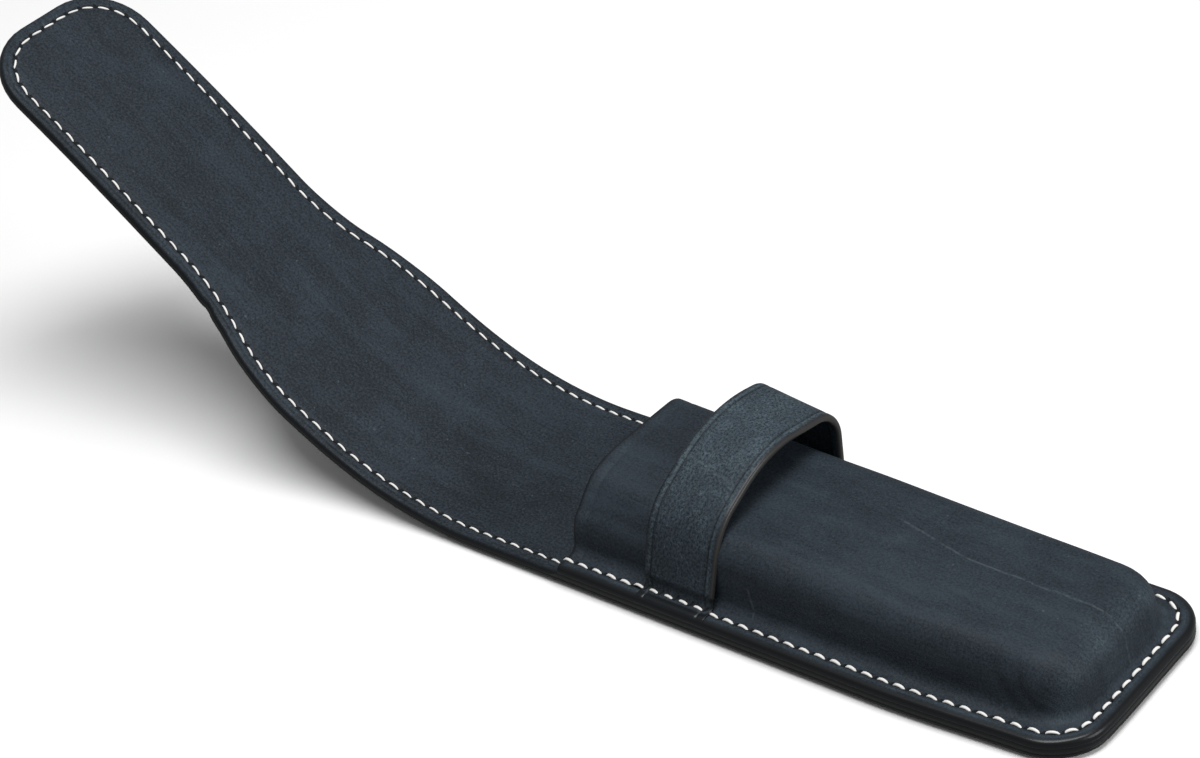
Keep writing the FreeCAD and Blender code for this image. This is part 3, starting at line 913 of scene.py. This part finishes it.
def build_strap():
    """The strap: rows across it between its two side paths, each side with its own finish."""
    paths = [strap_path(MOUTH_SIDE_PATH), strap_path(BOTTOM_SIDE_PATH)]
    walked = runs_of(paths[1])
    width = STRAP_END - STRAP_START
    across = [item * MM for item in STRAP_SECTION] + spaced(2.6 * MM, width - 2.6 * MM, 1.7 * MM)
    across = sorted(across + [width - item * MM for item in STRAP_SECTION])
    rows, columns = len(across), STRAP_COLUMNS + 1
    bm = bmesh.new()
    inset, edge, groove, painted_highlight, stitch, raw = leather_layers(bm)
    hide = bm.loops.layers.uv["hide"]
    bmesh.ops.create_grid(bm, x_segments=columns - 1, y_segments=rows - 1, size=1)
    bm.verts.ensure_lookup_table()
    spots = []
    for number, vertex in enumerate(bm.verts):
        row, column = divmod(number, columns)
        share = across[row] / width
        y, z = paths[0][column].lerp(paths[1][column], share)
        skew = STRAP_SKEW * part_way(z, 23 * MM, 14 * MM) * (1 - share) if y < 0 else 0
        vertex.co = (STRAP_START + across[row] + SPREAD * share + skew, y, z)
        spots.append((walked[column], across[row]))
    bm.normal_update()
    if sum(vertex.normal.z for vertex in bm.verts) < 0:
        bmesh.ops.reverse_faces(bm, faces=bm.faces[:])
        bm.normal_update()
    for face in bm.faces:
        for loop in face.loops:
            loop[hide].uv = spots[loop.vert.index]
    grain = bm.verts[:]
    middle_normals = [vertex.normal.copy() for vertex in grain]
    for verts, direction in ((grain, 1), (flesh_side(bm), -1)):
        for vertex, normal, (_, from_mouth) in zip(verts, middle_normals, spots):
            from_bottom = width - from_mouth
            off_side = min(from_mouth, from_bottom)
            spot = vertex.co.copy()
            from_edge = max(0, HALF_WIDTH - abs(spot.y))
            at_end = spot.z < FLANGE_TOP + 3 * MM
            thickness = pared_thickness(from_edge) if at_end else STRAP_THICKNESS
            height = direction * STRAP_THICKNESS / 2
            if direction > 0:
                height -= STRAP_THICKNESS - thickness
                height -= STRAP_CREASE * dip(off_side - STRAP_CREASE_INSET, 0.25 * MM)
                if at_end:
                    height -= seam_relief(from_edge) * 0.8
            height -= direction * rounding(off_side, min(STRAP_EDGE_ROUND, thickness * 0.45))
            vertex.co = spot + normal * height
            if at_end:
                vertex.co.z -= rounding(from_edge, FRONT_EDGE_ROUND)
                vertex[inset] = from_edge
                vertex[stitch] = stitch_number(spot)
                # Painted shade in the seam's groove
                vertex[groove] = dip(from_edge - SEAM_INSET, 0.6 * MM)
            # Rubbed dark at its edges and raw at one cut edge; painted shade in the creases, and a painted
            # highlight beside them and over the top of the arch
            rubbed = max(1.0 * MM - off_side, (2.8 * MM - from_edge) * at_end)
            crease_shade = 0.8 * dip(off_side - STRAP_CREASE_INSET, 0.35 * MM)
            vertex[edge] = 0.9 * part_way(rubbed, 0, 0.7 * MM)
            vertex[painted_highlight] = 0.45 * dip(off_side - 1.45 * MM, 0.6 * MM)
            vertex[painted_highlight] += 0.52 * soft_step(spot.z, 14 * MM, 28 * MM)
            vertex[groove] = max(vertex[groove], crease_shade)
            vertex[raw] = 0.7 * dip(from_bottom, 0.6 * MM) * (1 - at_end)
    close_rims(bm)
    return as_piece(bm, "keeper_strap_leather")


STRAP_SCRATCHES = [((33.5, 0.8), (30.0, 18.0), 0.4)]

strap = build_strap()
strap_leather = waxed_leather("keeper strap leather", 0.8, 0.25, 1.6, STRAP_SCRATCHES)
strap.data.materials.append(strap_leather)
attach(strap, "pocket")
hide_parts("keeper_strap")


# Seam. One waxed linen thread in saddle stitch, off-white: every stitch lies a little
# slanted in the groove between two pricked holes, on the front and on the back alike.

STITCH_LENGTH = {"front": 3.25 * MM, "flap": 3.25 * MM, "back": 3.0 * MM}
THREAD_WIDTH = {"front": 0.78 * MM, "flap": 0.56 * MM, "back": 0.6 * MM}
SLANT = math.radians(6)
BOW = 0.10 * MM


def stitch_shape():
    """One stitch along X, one unit long and thick: it dives at both ends and bows a little."""
    bm = bmesh.new()
    bmesh.ops.create_grid(bm, x_segments=5, y_segments=6, size=1)
    for vertex in bm.verts:
        share = (vertex.co.x + 1) / 2
        angle = math.pi * (vertex.co.y + 1)
        towards_end = abs(2 * share - 1)
        radius = 0.5 * (1 - 0.55 * towards_end ** 3)
        lift = 0.42 * (1 - 1.9 * towards_end ** 3)
        vertex.co = (share - 0.5, radius * math.cos(angle), lift + radius * 0.8 * math.sin(angle))
    bmesh.ops.remove_doubles(bm, verts=bm.verts, dist=0.001)
    bmesh.ops.holes_fill(bm, edges=[edge for edge in bm.edges if edge.is_boundary])
    bmesh.ops.recalc_face_normals(bm, faces=bm.faces[:])
    for face in bm.faces:
        face.smooth = True
    mesh = bpy.data.meshes.new("stitch")
    bm.to_mesh(mesh)
    bm.free()
    return mesh


def seam_height(place):
    """Height of the leather under a stitch, at the bottom of its groove."""
    height = FACE + (FLANGE_TOP - FACE) * (place.x > 0)
    if STRAP_START < place.x < STRAP_END:
        height += PARED_AT_SEAM
    return height - SEAM_GROOVE + waviness(place.x, place.y)


def add_stitch(bm, start, stop, side, chance):
    """Lay one stitch between two holes, on the case's front, its flap or its back."""
    middle = (start + stop) / 2
    first = len(bm.verts)
    bm.from_mesh(stitch_mesh)
    bm.verts.ensure_lookup_table()
    up = -1 if side == "back" else 1
    turn = math.atan2(stop.y - start.y, stop.x - start.x) - up * SLANT * chance.uniform(0.6, 1.4)
    length = STITCH_LENGTH[side] * chance.uniform(0.95, 1.05)
    size = THREAD_WIDTH[side] * chance.uniform(0.92, 1.08)
    level = seam_height(middle) if up > 0 else SEAM_GROOVE + waviness(middle.x, middle.y)
    for vertex in bm.verts[first:]:
        bow = BOW * (1 - 4 * vertex.co.x ** 2)
        spot = Matrix.Rotation(turn, 2) @ Vector((vertex.co.x * length, vertex.co.y * size + bow))
        z = level + up * vertex.co.z * size
        vertex.co = bent(Vector((middle.x + spot.x, middle.y + spot.y, z)))


thread = Shader("waxed linen thread")
thread_place = thread.node("ShaderNodeTexCoord", {}, {}, "Object")
fibres = thread.noise(thread_place, 2600, 3, 0.6)
soil = thread.noise(thread_place, 260, 3, 0.6).between(0.4, 0.8)
thread_colour = thread.blend(soil * 0.5, (0.84, 0.83, 0.80, 1), (0.58, 0.57, 0.54, 1))
thread.feed(thread.surface, {
    "Base Color": thread_colour,
    "Roughness": 0.55 + fibres * 0.2,
    "Normal": thread.bump(fibres * 0.06, 0.6),
})

holes = points_at(seam, [stitch_step * number for number in range(stitch_count)])
stitch_mesh = stitch_shape()
chance = random.Random(5)
stitches = [bmesh.new() for stretch in STRETCHES]
for start, stop in zip(holes, holes[1:] + holes[:1]):
    middle = (start + stop) / 2
    bm = next(bm for bm, (low, high) in zip(stitches, STRETCHES) if low <= -middle.x < high)
    add_stitch(bm, start, stop, "front" if middle.x > 0 else "flap", chance)
    add_stitch(bm, start, stop, "back", chance)
for number, bm in enumerate(stitches):
    bmesh.ops.recalc_face_normals(bm, faces=bm.faces[:])
    piece = as_piece(bm, "seam_thread_%d" % number)
    piece.data.materials.append(thread.material)
    ride_or_bend(piece, number)
    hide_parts(node_name("thread", number))


# Table, lights and camera. A white table under soft studio light from above and from one side,
# and the photograph's viewpoint, which leans the horizon a little.

bpy.ops.mesh.primitive_plane_add(size=6, location=(0, 0, -0.05 * MM))
table = bpy.context.object
table.name = "table"
# The camera sees it white, and it throws less light back on the leather
white = Shader("white table")
seen = white.node("ShaderNodeLightPath", {}, {}, "Is Camera Ray")
paper = white.blend(seen, (0.30, 0.30, 0.30, 1), (0.96, 0.96, 0.96, 1))
white.feed(white.surface, {"Base Color": paper, "Roughness": 0.9, "Specular IOR Level": 0.1})
table.data.materials.append(white.material)

world = bpy.data.worlds.new("studio")
world.use_nodes = True
bpy.context.scene.world = world
backdrop = world.node_tree.nodes["Background"]
backdrop.inputs["Color"].default_value = (1, 1, 1, 1)
backdrop.inputs["Strength"].default_value = 0.26


def area_light(name, place, aim, width, height, power):
    lamp = bpy.data.lights.new(name, "AREA")
    lamp.shape = "RECTANGLE"
    lamp.size = width
    lamp.size_y = height
    lamp.energy = power
    light = bpy.data.objects.new(name, lamp)
    light.location = place
    light.rotation_euler = (Vector(aim) - Vector(place)).to_track_quat("-Z", "Y").to_euler()
    bpy.context.scene.collection.objects.link(light)


area_light("key", (0.1, -0.05, 1.15), (0, 0, 0), 0.9, 0.5, 12)
area_light("fill", (1.0, 0.2, 0.45), (0, 0, 0), 0.6, 0.6, 5)

AZIMUTH = math.radians(43.74)
ELEVATION = math.radians(33.82)
ROLL = math.radians(-9.29)
DISTANCE = 783.5 * MM
AIM = Vector((-42.6 * MM, 39.1 * MM, -1.2 * MM))
FOCAL_LENGTH = 99.84
SENSOR_WIDTH = 36

level_back = Vector((math.sin(AZIMUTH), -math.cos(AZIMUTH), 0))
back = level_back * math.cos(ELEVATION) + Vector((0, 0, math.sin(ELEVATION)))
level_right = Vector((math.cos(AZIMUTH), math.sin(AZIMUTH), 0))
level_up = back.cross(level_right)
right = level_right * math.cos(ROLL) + level_up * math.sin(ROLL)
up = level_up * math.cos(ROLL) - level_right * math.sin(ROLL)
camera_data = bpy.data.cameras.new("camera")
camera_data.lens = FOCAL_LENGTH
camera_data.sensor_width = SENSOR_WIDTH
camera_data.sensor_fit = "HORIZONTAL"
camera_data.clip_start = 0.01
camera = bpy.data.objects.new("camera", camera_data)
turned = Matrix((right, up, back)).transposed().to_4x4()
camera.matrix_world = Matrix.Translation(AIM + back * DISTANCE) @ turned
bpy.context.scene.collection.objects.link(camera)
bpy.context.scene.camera = camera
bpy.context.scene.view_settings.view_transform = "Standard"
